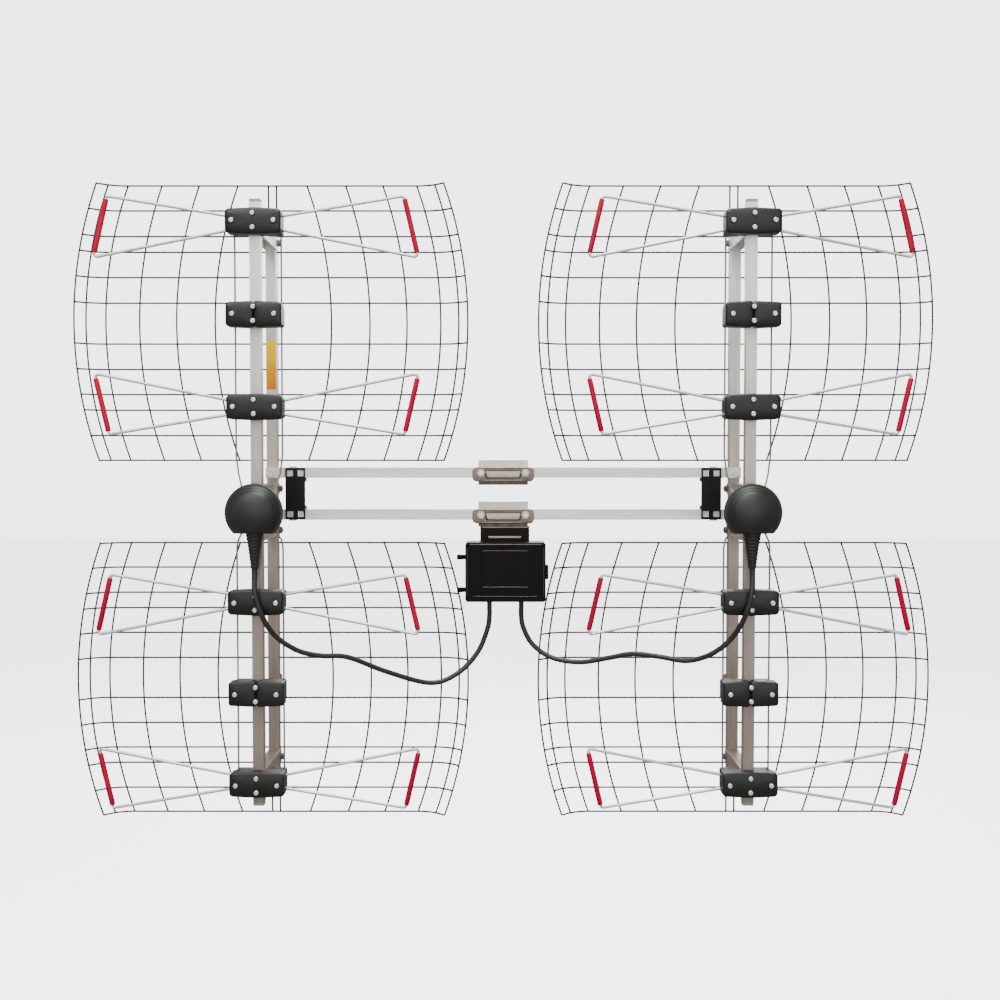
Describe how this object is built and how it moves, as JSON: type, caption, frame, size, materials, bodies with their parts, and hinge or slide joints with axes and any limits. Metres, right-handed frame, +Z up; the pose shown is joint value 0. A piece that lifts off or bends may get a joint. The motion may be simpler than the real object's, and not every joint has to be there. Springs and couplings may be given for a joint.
{
  "type": "bowtie tv antenna",
  "caption": "Rooftop UHF antenna: two swivelling panels of bowtie elements before barrel-shaped wire-grid reflectors, on crossbars with mast clamps and a combiner box.",
  "frame": {"origin": "on the mast's axis, midway between the two mast clamps", "axes": "+Z up along the mast, +X to the right seen from the front, the front faces -Y"},
  "size_m": [1.1738, 0.1976, 0.8694],
  "materials": {
    "tube": "satin",
    "grid_wire": "satin",
    "element_rod": "satin",
    "line_wire": "satin",
    "red_vinyl": "satin",
    "dark_plastic": "textured",
    "grey_plastic": "matte",
    "zinc": "satin",
    "clamp_steel": "satin",
    "black_steel": "satin",
    "bronze_steel": "satin",
    "box_plastic": "satin",
    "port_metal": "satin",
    "board": "satin",
    "black_rubber": "matte",
    "cable_jacket": "satin"
  },
  "bodies": {
    "frame": {"crossbars": "tube", "pivot_brackets": "black_steel", "pivot_pins": "zinc", "clamp_saddles": "clamp_steel", "clamp_jaws": "zinc", "clamp_nuts": "zinc", "combiner_bracket": "bronze_steel", "combiner_base": "box_plastic", "combiner_unit": "port_metal", "combiner_plugs": "port_metal", "cable_grommets": "black_rubber", "left_cable": "cable_jacket", "right_cable": "cable_jacket"},
    "left_panel": {"left_front_boom": "tube", "left_rear_boom": "tube", "left_boom_plugs": "grey_plastic", "left_standoffs": "tube", "left_swivel_arms": "tube", "left_upper_reflector": "grid_wire", "left_lower_reflector": "grid_wire", "left_reflector_clips": "zinc", "left_block_covers": "dark_plastic", "left_block_bases": "dark_plastic", "left_bowtie_1": "element_rod", "left_bowtie_2": "element_rod", "left_bowtie_3": "element_rod", "left_bowtie_4": "element_rod", "left_tip_sleeves": "red_vinyl", "left_phasing_lines": "line_wire", "left_balun_cover": "dark_plastic", "left_balun_base": "dark_plastic", "left_balun_board": "board", "left_cable_plug": "port_metal", "left_cable_boot": "black_rubber", "left_panel_screws": "zinc"},
    "right_panel": {"right_front_boom": "tube", "right_rear_boom": "tube", "right_boom_plugs": "grey_plastic", "right_standoffs": "tube", "right_swivel_arms": "tube", "right_upper_reflector": "grid_wire", "right_lower_reflector": "grid_wire", "right_reflector_clips": "zinc", "right_block_covers": "dark_plastic", "right_block_bases": "dark_plastic", "right_bowtie_1": "element_rod", "right_bowtie_2": "element_rod", "right_bowtie_3": "element_rod", "right_bowtie_4": "element_rod", "right_tip_sleeves": "red_vinyl", "right_phasing_lines": "line_wire", "right_balun_cover": "dark_plastic", "right_balun_base": "dark_plastic", "right_balun_board": "board", "right_cable_plug": "port_metal", "right_cable_boot": "black_rubber", "right_panel_screws": "zinc"},
    "lid": {"combiner_lid": "box_plastic"},
    "upper_ubolt": {"upper_ubolt": "zinc"},
    "lower_ubolt": {"lower_ubolt": "zinc"}
  },
  "joints": [
    {"name": "left_swivel", "type": "hinge", "parent": "frame", "child": "left_panel", "pos_m": [-0.287, -0.0355, 0], "axis": [0, 0, 1], "range_deg": [-60, 0], "deforming": ["left_cable"]},
    {"name": "right_swivel", "type": "hinge", "parent": "frame", "child": "right_panel", "pos_m": [0.287, -0.0355, 0], "axis": [0, 0, 1], "range_deg": [0, 60], "deforming": ["right_cable"]},
    {"name": "lid_hinge", "type": "hinge", "parent": "frame", "child": "lid", "pos_m": [-0.0586, -0.052, -0.104], "axis": [0, 0, 1], "range_deg": [-110, 0]},
    {"name": "upper_ubolt_slide", "type": "slide", "parent": "frame", "child": "upper_ubolt", "axis": [0, 1, 0], "range_m": [0, 0.012]},
    {"name": "lower_ubolt_slide", "type": "slide", "parent": "frame", "child": "lower_ubolt", "axis": [0, 1, 0], "range_m": [0, 0.012]}
  ]
}
